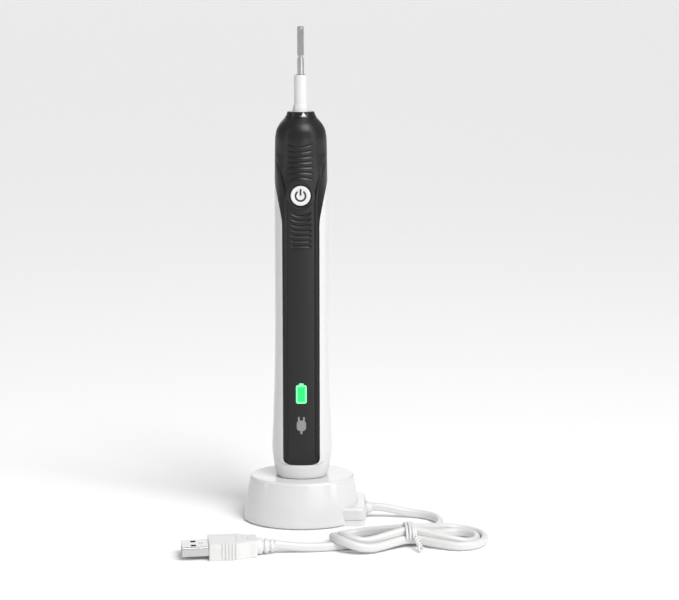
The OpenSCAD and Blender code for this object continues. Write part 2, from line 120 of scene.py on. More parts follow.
# (x, height, half width, half height, corner) of the battery's and the plug's shapes
ICON_SHAPES = [
    (0, 41.9, 2.55, 4.45, 0.95), (0, 46.5, 1.05, 0.65, 0.1), (0, 26.8, 2.25, 2.55, 1.65),
    (-1.2, 29.8, 0.45, 1.25, 0.1), (1.2, 29.8, 0.45, 1.25, 0.1), (0, 23.8, 0.55, 1.05, 0.1),
]
BATTERY_ICON_H = 41.9 * MM
BUTTON_H = 136 * MM
BUTTON_HOLE_R = 5.25 * MM
DISH_RADIUS = 5.5
DISH_WIDTH = 0.6
DISH_DEPTH = 0.4
PANEL_BOTTOM = 7.6 * MM
PANEL_CORNER = 3.0 * MM
CAP_TOP = 7.4 * MM
CAP_SIDE_TOP = 10.4 * MM
GRIP_WALL = 0.9 * MM
SHELL_WALL = 1.3 * MM
SHELL_TOP = 145.9 * MM
SHELL_GAP = 0.12 * MM
# (height above which rows of points lie this far apart, distance)
GRIP_STEPS = [(161, 0.6), (146.2, 0.2), (140, 0.14), (110.5, 0.2), (0, 1.6)]
SHELL_STEPS = [(140.5, 0.16), (118, 1.0), (0, 2.0)]

# Cord: its two half widths, and its route, which lifts to rest on the taller half
CORD_D = 3.8 * MM
CORD_HALF = (1.72 * MM, 2.05 * MM)
CORD_LIFT = CORD_HALF[1] / (CORD_D / 2)
LEAD = [
    (33.6, 0, 5), (39, 0, 4.8), (45, 0, 3.6), (51, 0, 2.3), (57, -0.8, 1.9), (62, -3.8, 1.9),
    (65.4, -8.8, 1.9), (66.2, -14.8, 1.9), (64.8, -20.6, 1.9), (61.8, -25.8, 1.9),
    (58.4, -30.2, 2), (54.9, -34, 2.6),
]
TAIL = [
    (40, -43.6, 2.6), (33, -45.6, 1.9), (26, -47.8, 1.9), (18, -50, 1.9), (10, -51.8, 1.9),
    (2, -53, 2.1), (-5, -53.9, 3), (-11.6, -54.8, 3.9),
]
TIE_AT = (50.0, -41.0)
HANK_TURN = math.radians(7)
LOBE_CENTRE = 22.8
WIDE_LOBE = 13.4
NARROW_LOBE = 9.5
LOBE_HALF_TURN = 102
TIE_WIRE = 0.62 * MM
TIE_WRAPS = 4
PLUG_AT = (-11.6 * MM, -54.8 * MM, 3.9 * MM)
PLUG_TURN = math.radians(187)
GRIP_HALF_H = 3.9 * MM
# (distance along the plug, half its width)
PLUG_SIDE = [
    (8.0, 4.6), (8.5, 5.1), (11.0, 5.2), (12.2, 5.35), (13.4, 5.8), (14.6, 6.6), (15.6, 7.3),
    (16.6, 7.65), (18.0, 7.75), (27.0, 7.75), (29.6, 7.75), (30.0, 7.4),
]
SHELL_HALF = (6 * MM, 2.25 * MM)
SHELL_CORNER = 0.75 * MM


# ---- camera and light ----

def add_camera():
    data = bpy.data.cameras.new("camera")
    data.lens = LENS
    data.sensor_width = SENSOR_WIDTH
    camera = bpy.data.objects.new("camera", data)
    bpy.context.scene.collection.objects.link(camera)
    camera.location = CAMERA_EYE
    aim = Vector(CAMERA_TARGET) - Vector(CAMERA_EYE)
    camera.rotation_euler = aim.to_track_quat("-Z", "Y").to_euler()
    bpy.context.scene.camera = camera
    bpy.context.scene.view_settings.view_transform = "Standard"


def area_light(name, place, target, size, power):
    """A rectangular light that the camera doesn't see."""
    data = bpy.data.lights.new(name, "AREA")
    data.shape = "RECTANGLE"
    data.size, data.size_y = size
    data.energy = power
    light = bpy.data.objects.new(name, data)
    bpy.context.scene.collection.objects.link(light)
    light.location = place
    light.visible_camera = False
    aim = Vector(target) - Vector(place)
    light.rotation_euler = aim.to_track_quat("-Z", "Y").to_euler()


def soft_sun(name, heading, power, spread_angle):
    """Even light along a heading, softened by its spread in degrees."""
    data = bpy.data.lights.new(name, "SUN")
    data.energy = power
    data.angle = math.radians(spread_angle)
    light = bpy.data.objects.new(name, data)
    bpy.context.scene.collection.objects.link(light)
    light.rotation_euler = Vector(heading).to_track_quat("-Z", "Y").to_euler()


def add_lights():
    soft_sun("key", (-0.5, 0.62, -1.0), 1.82, 28)
    soft_sun("behind", (0.1, -1.0, -0.42), 0.55, 50)
    area_light("right strip", (0.55, -0.35, 0.3), (0, 0, 0.12), (0.16, 0.75), 1.05)
    area_light("left strip", (-0.6, -0.25, 0.3), (0, 0, 0.12), (0.05, 0.7), 0.4)
    area_light("front right", (0.27, -0.6, 0.1), (0, 0, 0.1), (0.34, 0.4), 0.75)
    area_light("overhead", (0.14, -0.42, 0.85), (0, 0, 0.1), (0.4, 0.4), 1.5)
    world = bpy.data.worlds.new("studio")
    world.use_nodes = True
    background = world.node_tree.nodes["Background"]
    background.inputs["Color"].default_value = (1, 1, 1, 1)
    background.inputs["Strength"].default_value = 0.31
    bpy.context.scene.world = world


# ---- materials ----

def new_material(name, colour, roughness, metallic=0.0, **sockets):
    """A Principled material, returned with its node tree, its shader and object coordinates."""
    material = bpy.data.materials.new(name)
    material.use_nodes = True
    tree = material.node_tree
    shader = tree.nodes["Principled BSDF"]
    shader.inputs["Base Color"].default_value = (*colour, 1)
    shader.inputs["Roughness"].default_value = roughness
    shader.inputs["Metallic"].default_value = metallic
    for key, value in sockets.items():
        shader.inputs[key.replace("_", " ")].default_value = value
    coords = tree.nodes.new("ShaderNodeTexCoord")
    return material, tree, shader, coords.outputs["Object"]


def noise_node(tree, vector, scale, detail=4.0, stretch=(1, 1, 1)):
    mapping = tree.nodes.new("ShaderNodeMapping")
    mapping.inputs["Scale"].default_value = stretch
    tree.links.new(vector, mapping.inputs["Vector"])
    noise = tree.nodes.new("ShaderNodeTexNoise")
    noise.inputs["Scale"].default_value = scale
    noise.inputs["Detail"].default_value = detail
    tree.links.new(mapping.outputs["Vector"], noise.inputs["Vector"])
    return noise.outputs["Fac"]


def spread(tree, factor, low, high):
    """Maps a 0..1 factor to low..high."""
    node = tree.nodes.new("ShaderNodeMapRange")
    node.inputs["To Min"].default_value = low
    node.inputs["To Max"].default_value = high
    tree.links.new(factor, node.inputs["Value"])
    return node.outputs["Result"]


def blend_colours(tree, factor, first, second):
    node = tree.nodes.new("ShaderNodeMix")
    node.data_type = "RGBA"
    node.inputs["A"].default_value = (*first, 1)
    node.inputs["B"].default_value = (*second, 1)
    tree.links.new(factor, node.inputs["Factor"])
    return node.outputs["Result"]


def add_bump(tree, shader, height, strength, distance):
    bump = tree.nodes.new("ShaderNodeBump")
    bump.inputs["Strength"].default_value = strength
    bump.inputs["Distance"].default_value = distance
    tree.links.new(height, bump.inputs["Height"])
    tree.links.new(bump.outputs["Normal"], shader.inputs["Normal"])


def plastic(name, colour, roughness, shade=0.03, grain=2200, grain_depth=0.012, **sockets):
    """Moulded plastic: faint clouding in colour and polish, and a fine mould grain."""
    material, tree, shader, place = new_material(name, colour, roughness, **sockets)
    clouds = noise_node(tree, place, 60, 3)
    darker = tuple(c * (1 - shade) for c in colour)
    tree.links.new(blend_colours(tree, clouds, darker, colour), shader.inputs["Base Color"])
    tree.links.new(spread(tree, noise_node(tree, place, 240, 5), roughness * 0.8,
                          roughness * 1.25), shader.inputs["Roughness"])
    add_bump(tree, shader, noise_node(tree, place, grain, 2), grain_depth, 0.0002)
    return material


def metal(name, colour, roughness, stretch, scratch=900, depth=0.05):
    """Metal with drawn or ground lines along its shape."""
    material, tree, shader, place = new_material(name, colour, roughness, 1.0)
    lines = noise_node(tree, place, scratch, 4, stretch)
    tree.links.new(spread(tree, lines, roughness * 0.7, roughness * 1.5),
                   shader.inputs["Roughness"])
    darker = tuple(c * 0.86 for c in colour)
    tree.links.new(blend_colours(tree, noise_node(tree, place, 150, 3), darker, colour),
                   shader.inputs["Base Color"])
    add_bump(tree, shader, lines, depth, 0.0001)
    return material


def winding(name, colour, pitch, direction):
    """Enamelled wire laid turn beside turn, with painted shade in the gaps between turns."""
    material, tree, shader, place = new_material(name, colour, 0.28, 0.9)
    wave = tree.nodes.new("ShaderNodeTexWave")
    wave.bands_direction = direction
    wave.inputs["Scale"].default_value = 1 / (pitch * 20)
    tree.links.new(place, wave.inputs["Vector"])
    # the darker colour where the wave is low is painted shade in the gaps between turns; the bump
    # below is real relief
    darker = tuple(c * 0.35 for c in colour)
    tree.links.new(blend_colours(tree, wave.outputs["Fac"], darker, colour),
                   shader.inputs["Base Color"])
    add_bump(tree, shader, wave.outputs["Fac"], 0.6, 0.0002)
    return material


def soft_grip_material():
    """Black soft grip: satin on the strip and the head, polished in and beside the channels."""
    satin_black, polished_black = (0.013, 0.013, 0.014), (0.004, 0.004, 0.005)
    material, tree, shader, place = new_material("black_soft_grip", satin_black, 0.34,
                                                Specular_IOR_Level=0.32)
    polish = tree.nodes.new("ShaderNodeAttribute")
    polish.attribute_name = "polish"
    mask = polish.outputs["Fac"]
    tree.links.new(blend_colours(tree, mask, satin_black, polished_black),
                   shader.inputs["Base Color"])
    satin = spread(tree, noise_node(tree, place, 240, 5), 0.29, 0.4)
    rough = tree.nodes.new("ShaderNodeMix")
    tree.links.new(mask, rough.inputs["Factor"])
    tree.links.new(satin, rough.inputs["A"])
    rough.inputs["B"].default_value = 0.16
    tree.links.new(rough.outputs["Result"], shader.inputs["Roughness"])
    add_bump(tree, shader, noise_node(tree, place, 2600, 2), 0.08, 0.0002)
    return material


def light_window(name, centre, core, edge, strength, half):
    """A lit window: saturated in the middle and paler towards its edge."""
    material, tree, shader, place = new_material(name, core, 0.25)
    away = tree.nodes.new("ShaderNodeVectorMath")
    away.operation = "SUBTRACT"
    away.inputs[1].default_value = centre
    tree.links.new(place, away.inputs[0])
    shape = tree.nodes.new("ShaderNodeMapping")
    shape.inputs["Scale"].default_value = (1 / half[0], 0, 1 / half[1])
    tree.links.new(away.outputs["Vector"], shape.inputs["Vector"])
    split = tree.nodes.new("ShaderNodeSeparateXYZ")
    tree.links.new(shape.outputs["Vector"], split.inputs["Vector"])
    sizes = []
    for axis in ("X", "Z"):
        size = tree.nodes.new("ShaderNodeMath")
        size.operation = "ABSOLUTE"
        tree.links.new(split.outputs[axis], size.inputs[0])
        sizes.append(size.outputs["Value"])
    most = tree.nodes.new("ShaderNodeMath")
    most.operation = "MAXIMUM"
    for slot, size in enumerate(sizes):
        tree.links.new(size, most.inputs[slot])
    edge_mask = tree.nodes.new("ShaderNodeMapRange")
    edge_mask.inputs["From Min"].default_value = 0.62
    edge_mask.inputs["From Max"].default_value = 0.78
    tree.links.new(most.outputs["Value"], edge_mask.inputs["Value"])
    colour = blend_colours(tree, edge_mask.outputs["Result"], core, edge)
    tree.links.new(colour, shader.inputs["Base Color"])
    tree.links.new(colour, shader.inputs["Emission Color"])
    shader.inputs["Emission Strength"].default_value = strength
    return material


def board_material():
    """Circuit board: solder mask over faint copper tracks."""
    material, tree, shader, place = new_material("circuit_board_mask", (0.02, 0.12, 0.05), 0.35)
    bricks = tree.nodes.new("ShaderNodeTexBrick")
    bricks.inputs["Scale"].default_value = 320
    bricks.inputs["Mortar Size"].default_value = 0.06
    bricks.inputs["Color1"].default_value = (0.02, 0.12, 0.05, 1)
    bricks.inputs["Color2"].default_value = (0.025, 0.14, 0.06, 1)
    bricks.inputs["Mortar"].default_value = (0.08, 0.26, 0.10, 1)
    tree.links.new(place, bricks.inputs["Vector"])
    tree.links.new(bricks.outputs["Color"], shader.inputs["Base Color"])
    add_bump(tree, shader, noise_node(tree, place, 900, 3), 0.1, 0.0001)
    return material


def make_materials():
    icon_z = DECK_Z + BATTERY_ICON_H
    return {
        "white_shell": plastic("white_gloss_plastic", (0.68, 0.68, 0.68), 0.16, 0.02,
                               Coat_Weight=0.35, Coat_Roughness=0.08),
        "white_plastic": plastic("white_plastic", (0.7, 0.7, 0.695), 0.38, 0.03, 1400, 0.05),
        "tie_white": plastic("white_wire_sleeve", (0.72, 0.72, 0.715), 0.34, 0.03),
        "cord_pvc": plastic("cord_sleeve", (0.68, 0.68, 0.675), 0.36, 0.04, 1600, 0.05,
                            Coat_Weight=0.15, Coat_Roughness=0.3),
        "black_grip": soft_grip_material(),
        "black_plastic": plastic("black_plastic", (0.012, 0.012, 0.013), 0.2, 0.2, 1800, 0.03),
        "rubber_grey": plastic("grey_rubber", (0.06, 0.06, 0.06), 0.65, 0.2, 1500, 0.2),
        "steel": metal("shaft_steel", (0.48, 0.48, 0.49), 0.26, (60, 60, 1)),
        "plated_steel": metal("plated_steel", (0.66, 0.66, 0.67), 0.2, (2, 40, 40), 300),
        "nickel": metal("nickel", (0.55, 0.54, 0.51), 0.3, (1, 8, 8)),
        "gold": metal("gold_contact", (0.75, 0.52, 0.2), 0.25, (1, 20, 20)),
        "bronze": metal("sintered_bronze", (0.42, 0.27, 0.13), 0.5, (1, 1, 1), 1500, 0.3),
        "copper": winding("copper_winding", (0.55, 0.22, 0.09), 0.0005, "Z"),
        "ferrite": plastic("ferrite", (0.05, 0.05, 0.055), 0.5, 0.2, 900, 0.3),
        "board_green": board_material(),
        "chip_black": plastic("chip_black", (0.02, 0.02, 0.02), 0.5, 0.2, 1200, 0.1),
        "battery_wrap": plastic("battery_wrap", (0.05, 0.14, 0.3), 0.3, 0.1),
        "led_white": plastic("led_lens", (0.8, 0.8, 0.7), 0.15, 0.02),
        "wire_sleeve": plastic("wire_sleeve_red", (0.5, 0.05, 0.04), 0.4, 0.1),
        "symbol_black": plastic("printed_symbol", (0.015, 0.015, 0.015), 0.4, 0.1),
        "light_green": light_window("battery_window", (0, 0, icon_z), (0.004, 0.8, 0.13),
                                    (0.2, 1.0, 0.38), 0.45, (0.0025, 0.0052)),
        "light_grey": plastic("grey_window", (0.26, 0.26, 0.27), 0.3, 0.1),
    }


# ---- mesh helpers ----

def mesh_piece(name, verts, faces, material, sharp=None):
    mesh = bpy.data.meshes.new(name)
    mesh.from_pydata([tuple(v) for v in verts], [], faces)
    bm = bmesh.new()
    bm.from_mesh(mesh)
    bmesh.ops.remove_doubles(bm, verts=bm.verts, dist=1e-7)
    bmesh.ops.recalc_face_normals(bm, faces=bm.faces)
    bm.to_mesh(mesh)
    bm.free()
    for face in mesh.polygons:
        face.use_smooth = True
    if sharp is not None:
        mesh.set_sharp_from_angle(angle=math.radians(sharp))
    mesh.materials.append(material)
    obj = bpy.data.objects.new(name, mesh)
    bpy.context.scene.collection.objects.link(obj)
    return obj


def ring_faces(rings, around, closed=True):
    """Quads between successive rings of points."""
    last = around if closed else around - 1
    return [(r * around + i, r * around + (i + 1) % around,
             (r + 1) * around + (i + 1) % around, (r + 1) * around + i)
            for r in range(rings - 1) for i in range(last)]


def loft(name, rings, material, sharp=None):
    """A closed solid through closed rings, with a flat lid on the first and the last."""
    around = len(rings[0])
    verts = [v for ring in rings for v in ring]
    faces = ring_faces(len(rings), around)
    faces.append(tuple(range(around))[::-1])
    faces.append(tuple(range((len(rings) - 1) * around, len(rings) * around)))
    return mesh_piece(name, verts, faces, material, sharp)


def lathe(name, outline, material, around=64, sharp=35, ring=False):
    """A solid of revolution about Z through (radius, height) pairs, or a ring with a bore."""
    rings = [[Vector((r * math.cos(a), r * math.sin(a), z)) for a in
              (2 * math.pi * i / around for i in range(around))] for r, z in outline]
    if not ring:
        return loft(name, rings, material, sharp)
    rings.append(rings[0])
    return mesh_piece(name, [v for r in rings for v in r], ring_faces(len(rings), around),
                      material, sharp)


def face_front(obj):
    """Turns a piece made about Z to face the front, on the button's axis."""
    obj.data.transform(Matrix.Translation((0, 0, DECK_Z + BUTTON_H))
                       @ Matrix.Rotation(math.pi / 2, 4, "X"))


def apply_modifiers(obj):
    depsgraph = bpy.context.evaluated_depsgraph_get()
    mesh = bpy.data.meshes.new_from_object(obj.evaluated_get(depsgraph))
    obj.modifiers.clear()
    old = obj.data
    obj.data = mesh
    bpy.data.meshes.remove(old)


def cut(obj, cutter, operation="DIFFERENCE"):
    """Joins a tool solid to obj, or cuts it away, and removes the tool."""
    modifier = obj.modifiers.new("cut", "BOOLEAN")
    modifier.object = cutter
    modifier.operation = operation
    modifier.solver = "EXACT"
    apply_modifiers(obj)
    mesh = cutter.data
    bpy.data.objects.remove(cutter)
    bpy.data.meshes.remove(mesh)


def soften(obj, width, segments=3, angle=35):
    bevel = obj.modifiers.new("soft_edges", "BEVEL")
    bevel.width = width
    bevel.segments = segments
    bevel.limit_method = "ANGLE"
    bevel.angle_limit = math.radians(angle)
    apply_modifiers(obj)
    for face in obj.data.polygons:
        face.use_smooth = True
    obj.data.set_sharp_from_angle(angle=math.radians(50))


def prism(name, outline, low, high, material):
    """An outline in X and Y, raised from low to high."""
    return loft(name, [[Vector((x, y, z)) for x, y in outline] for z in (low, high)], material)


def block(name, low, high, material):
    (x0, y0, z0), (x1, y1, z1) = low, high
    return prism(name, [(x0, y0), (x1, y0), (x1, y1), (x0, y1)], z0, z1, material)


def wire_piece(name, points, radius, material):
    """A round wire along one smooth spline."""
    curve = bpy.data.curves.new(name, "CURVE")
    curve.dimensions = "3D"
    curve.bevel_depth = radius
    curve.bevel_resolution = 6
    curve.resolution_u = 6
    curve.use_fill_caps = True
    spline = curve.splines.new("NURBS")
    spline.points.add(len(points) - 1)
    for point, place in zip(spline.points, points):
        point.co = (*place, 1)
    spline.order_u = 4
    spline.use_endpoint_u = True
    curve.materials.append(material)
    obj = bpy.data.objects.new(name, curve)
    bpy.context.scene.collection.objects.link(obj)
    return obj


# ---- outlines ----

def rounded_outline(half_x, half_y, corner, count):
    """Points round a rectangle with round corners, one for each of count directions."""
    points = []
    for i in range(count):
        a = 2 * math.pi * i / count
        c, s = math.cos(a), math.sin(a)
        reach = min(half_x / abs(c) if abs(c) > 1e-9 else 1e9,
                    half_y / abs(s) if abs(s) > 1e-9 else 1e9)
        x, y = reach * c, reach * s
        cx, cy = half_x - corner, half_y - corner
        if abs(x) > cx and abs(y) > cy:
            # the ray meets the corner's arc: solve |t(c, s) - (cx, cy)| = corner
            dot = cx * abs(c) + cy * abs(s)
            gap = cx * cx + cy * cy - corner * corner
            t = dot + math.sqrt(max(dot * dot - gap, 0.0))
            x, y = t * c, t * s
        points.append((x, y))
    return points


def in_metres(pairs):
    return [(a * MM, b * MM) for a, b in pairs]


def round_over(size):
    """(rise, inset) pairs along a quarter circle, from the wall to the top."""
    turns = [math.pi / 2 * i / 7 for i in range(8)]
    return [(size * math.sin(a), size * (1 - math.cos(a))) for a in turns]


def oval_outline(a, b, count):
    return [(a * math.cos(2 * math.pi * i / count), b * math.sin(2 * math.pi * i / count))
            for i in range(count)]


def ring_at(outline, z):
    return [Vector((x, y, z)) for x, y in outline]


# ---- charger ----

def charger_radius_scale(z):
    """The oval's size at height z against its size at the floor."""
    t = z / DECK_Z
    return 1 - OVAL_TAPER * (0.8 * t + 0.2 * t * t)


def charger_oval(z, inset=0.0):
    """The charger's outline at height z, moved in by inset."""
    k = charger_radius_scale(z)
    return ring_at(oval_outline(OVAL_A * k - inset, OVAL_B * k - inset, AROUND), z)


def post_ring(z, grow=0.0):
    """The post's outline at height z, moved out by grow."""
    t = (z - DECK_Z) / (POST_TOP - DECK_Z)
    taper = POST_TAPER * max(t, 0)
    return ring_at(rounded_outline(POST_SIZE[0] / 2 - taper + grow,
                                   POST_SIZE[1] / 2 - taper + grow,
                                   POST_CORNER + grow * 0.6, AROUND), z)


def tail_ring(z, inset):
    """The outline at height z of the block that the lead leaves."""
    half_x = TAIL_END / 2
    outline = rounded_outline(half_x - inset, TAIL_HALF - inset, 3.4 * MM - inset * 0.5, 96)
    return [Vector((x + half_x, y, z)) for x, y in outline]


def make_tail(mat):
    rings = [tail_ring(SEAM_Z + lift * MM, inset * MM)
             for lift, inset in ((0.12, 0.3), (0.2, 0.08), (0.4, 0.0))]
    crown = 1.6 * MM
    for rise, inset in round_over(crown):
        rings.append(tail_ring(TAIL_H - crown + rise, inset))
    return loft("charger_tail", rings, mat["white_shell"])


def make_charger(mat):
    """The hollow housing with its post, and the tail block joined to it."""
    floor = 0.6 * MM
    ceiling = DECK_Z - CHARGER_WALL
    rings = [ring_at(oval_outline(MM, MM, AROUND), ceiling),
             charger_oval(ceiling, CHARGER_WALL + MM), charger_oval(ceiling - MM, CHARGER_WALL),
             charger_oval(floor, CHARGER_WALL)]
    for lift, inset in ((0.0, 0.5), (0.15, 0.2), (0.5, 0.0)):
        rings.append(charger_oval(floor + lift * MM, inset * MM))
    for z in (4, 8, 12, 16, 19):
        rings.append(charger_oval(z * MM))
    edge = 1.3 * MM
    for rise, inset in round_over(edge):
        rings.append(charger_oval(DECK_Z - edge + rise, inset))
    rings.append(charger_oval(DECK_Z, 3 * MM))
    rings.append([p.lerp(q, 0.6) for p, q in zip(charger_oval(DECK_Z, 3 * MM),
                                                 post_ring(DECK_Z, 1.2 * MM))])
    for lift, grow in ((0, 0.9), (0.1, 0.55), (0.35, 0.2), (0.8, 0.0), (4, 0), (8, 0), (11, 0)):
        rings.append(post_ring(DECK_Z + lift * MM, grow * MM))
    crown = 2.0 * MM
    for rise, inset in round_over(crown):
        rings.append(post_ring(POST_TOP - crown + rise, -inset))
    body = loft("charger_body", rings, mat["white_shell"])
    cut(body, make_tail(mat), "UNION")
    body.data.set_sharp_from_angle(angle=math.radians(40))
    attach(body, "charger")
    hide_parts("charger_housing")


# ---- handle ----

def smooth_lookup(table, x):
    """Piecewise cubic through (x, y) pairs, with no overshoot."""
    if x <= table[0][0]:
        return table[0][1]
    if x >= table[-1][0]:
        return table[-1][1]
    slopes = [(b[1] - a[1]) / (b[0] - a[0]) for a, b in zip(table, table[1:])]
    tangents = [slopes[0]]
    for left, right in zip(slopes, slopes[1:]):
        tangents.append(0.0 if left * right <= 0 else 2 * left * right / (left + right))
    tangents.append(slopes[-1])
    i = next(i for i, after in enumerate(table[1:]) if x <= after[0])
    a, b = table[i], table[i + 1]
    h = b[0] - a[0]
    t = (x - a[0]) / h
    return (a[1] * (1 + 2 * t) * (1 - t) ** 2 + tangents[i] * h * t * (1 - t) ** 2
            + b[1] * t * t * (3 - 2 * t) + tangents[i + 1] * h * t * t * (t - 1))


def smooth_step(x, low, high):
    """0 up to low, 1 from high, and a smooth rise between."""
    t = min(max((x - low) / (high - low), 0.0), 1.0)
    return t * t * (3 - 2 * t)


def soft_min(a, b, blend):
    """The smaller of two lengths, rounded over where they are about the same."""
    low = min(a, b)
    return low - blend * math.log(math.exp((low - a) / blend) + math.exp((low - b) / blend))


def row_heights(start, end, steps):
    """Heights of rows of points from start up to end, spaced as steps says."""
    rows = []
    h = start
    while h < end:
        rows.append(h)
        h += next(step for above, step in steps if h > above * MM) * MM
    return rows


def handle_radius(h):
    return smooth_lookup(HANDLE_PROFILE, h / MM) * MM


def channel_middle(h):
    """Distance across, in millimetres, to the middle of the channel at height h."""
    return smooth_lookup(CREASE, h / MM) + CHANNEL_OUT


def section_radius(h, angle):
    """Distance from the axis to the handle's outside, at an angle from straight front."""
    r = handle_radius(h)
    c, s = math.cos(angle), math.sin(angle)
    if c <= 0.05:
        return r
    crease = min(smooth_lookup(CREASE, h / MM) * MM, r * 0.93)
    side = math.sqrt(r * r - crease * crease) - PANEL_CROWN
    front = r - FLAT_DEPTH + 0.55 * MM * smooth_step(h, 120 * MM, 150 * MM)
    front = max(front, side)
    a = (front - side) * s * s / (crease * crease)
    flat = front / c if a < 1e-4 else (-c + math.sqrt(c * c + 4 * a * front)) / (2 * a)
    faceted = soft_min(r, flat, 0.14 * MM)
    fade = smooth_step(h, 150 * MM, 163 * MM)
    return faceted * (1 - fade) + r * fade


def on_handle(h, angle, out=0.0):
    """A point on the handle's outside, moved out by out."""
    r = section_radius(h, angle) + out
    return Vector((r * math.sin(angle), -r * math.cos(angle), DECK_Z + h))


def black_half_angle(h):
    """Half the angle that the black grip covers at height h."""
    if h >= ARCH_TOP:
        return math.pi
    if h >= ARCH_FROM:
        return math.radians(smooth_lookup(BACK_ARCH, h / MM))
    half = smooth_lookup(PANEL_HALF, h / MM) * MM
    rise = PANEL_BOTTOM + PANEL_CORNER - h
    if rise > 0:
        half -= PANEL_CORNER - math.sqrt(max(PANEL_CORNER * PANEL_CORNER - rise * rise, 0.0))
    return math.asin(half / handle_radius(h))


def groove_depth(x, h):
    """How far the grip's surface is cut in at x across and height h: soft ribs."""
    depth = 0.0
    for grooves, reach, deep in GROOVE_SETS:
        window = 1 - smooth_step(abs(x) / MM, reach - 1.0, reach + 0.5)
        if window <= 0:
            continue
        for centre, bow in grooves:
            away = h / MM - (centre + bow * (x / MM / reach) ** 2)
            if abs(away) > 1.6:
                continue
            # steep above, easy below, as a thumb rib
            width = GROOVE_ABOVE if away > 0 else GROOVE_BELOW
            depth = max(depth, deep * math.exp(-(away / width) ** 2) * window)
    return depth * MM


def button_dish(x, h):
    """A shallow ring around the button."""
    away = math.hypot(x, h - BUTTON_H) / MM
    return DISH_DEPTH * MM * math.exp(-((away - DISH_RADIUS) / DISH_WIDTH) ** 2)


def crease_depth(x, h):
    """The narrow channel that runs up each side of the front strip and fans out at the head."""
    fade = smooth_step(h / MM, 8.5, 11) * (1 - smooth_step(h / MM, 148, 154))
    deep = 0.44 + 0.22 * smooth_step(h / MM, 128, 140)
    away = abs(x) / MM - channel_middle(h)
    return deep * MM * fade * math.exp(-(away / CHANNEL_WIDTH) ** 2)


def grip_skin():
    """The black grip's outside: (points row by row, number of rows, points in a row)."""
    rows = [PANEL_BOTTOM + PANEL_CORNER * (1 - math.cos(math.pi / 2 * i / 8)) for i in range(8)]
    rows += row_heights(PANEL_BOTTOM + PANEL_CORNER, BODY_H - 0.2 * MM, GRIP_STEPS)
    rows.append(BODY_H)
    # columns from the middle to each channel, and from there to the grip's edge
    inner, outer = 46, 26
    columns = 2 * (inner + outer) + 1
    verts = []
    for h in rows:
        half = black_half_angle(h)
        channel = channel_middle(h) * MM / handle_radius(h)
        channel = min(math.asin(min(channel, 0.97)), 0.94 * half)
        for i in range(columns):
            t = i - inner - outer
            across = abs(t)
            angle = (channel * across / inner if across <= inner else
                     channel + (half - channel) * (across - inner) / outer)
            angle = math.copysign(angle, t)
            x = section_radius(h, angle) * math.sin(angle)
            inward = crease_depth(x, h) if abs(angle) < 1.4 else 0.0
            if abs(angle) < 1.0:
                inward += groove_depth(x, h) + button_dish(x, h)
            verts.append(on_handle(h, angle, -inward))
    return verts, len(rows), columns


def thicken(obj, wall):
    """Gives a skin a wall, inwards."""
    solid = obj.modifiers.new("thickness", "SOLIDIFY")
    solid.thickness = wall
    solid.offset = -1
    apply_modifiers(obj)


def mark_polish(grip):
    """Writes where the soft grip is polished, for its material, to the mesh."""
    polish = grip.data.attributes.new("polish", "FLOAT", "POINT")
    for vertex, value in zip(grip.data.vertices, polish.data):
        x, y, z = vertex.co
        h = z - DECK_Z
        edge = channel_middle(h)
        beside = smooth_step(abs(x) / MM, edge - 0.5, edge - 0.3) if y < 0 else 1.0
        value.value = beside * (1 - smooth_step(h / MM, 132, 150))


def make_grip(mat):
    verts, rows, columns = grip_skin()
    grip = mesh_piece("soft_grip", verts, ring_faces(rows, columns, closed=False),
                      mat["black_grip"])
    thicken(grip, GRIP_WALL)
    hole = lathe("button_hole", [(BUTTON_HOLE_R, 5.0 * MM), (BUTTON_HOLE_R, 10.55 * MM),
                                 (6.2 * MM, 11.75 * MM)], mat["black_grip"], 96)
    face_front(hole)
    cut(grip, hole)
    for window in icon_cutters(mat["black_grip"]):
        cut(grip, window)
    mark_polish(grip)
    grip.data.set_sharp_from_angle(angle=math.radians(50))
    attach(grip, "handle")
    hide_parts("front_grip")


def upright_prism(name, outline, material):
    """An outline in X and height above the deck, run through the front of the handle."""
    rings = [[Vector((x * MM, y * MM, DECK_Z + z * MM)) for x, z in outline]
             for y in (-16, -9)]
    return loft(name, rings, material)


def icon_cutters(material):
    """Tools for the grip's two windows: a battery, and a plug with its prongs and lead."""
    return [upright_prism("window", [(x + u, z + v) for u, v in
                                     rounded_outline(half_w, half_h, corner, 40)], material)
            for x, z, half_w, half_h, corner in ICON_SHAPES]


def cap_edge(angle):
    """Height of the base cap's top edge: low under the panel and arched up at the sides."""
    return CAP_TOP + (CAP_SIDE_TOP - CAP_TOP) * smooth_step(abs(angle), 0.55, 1.35)


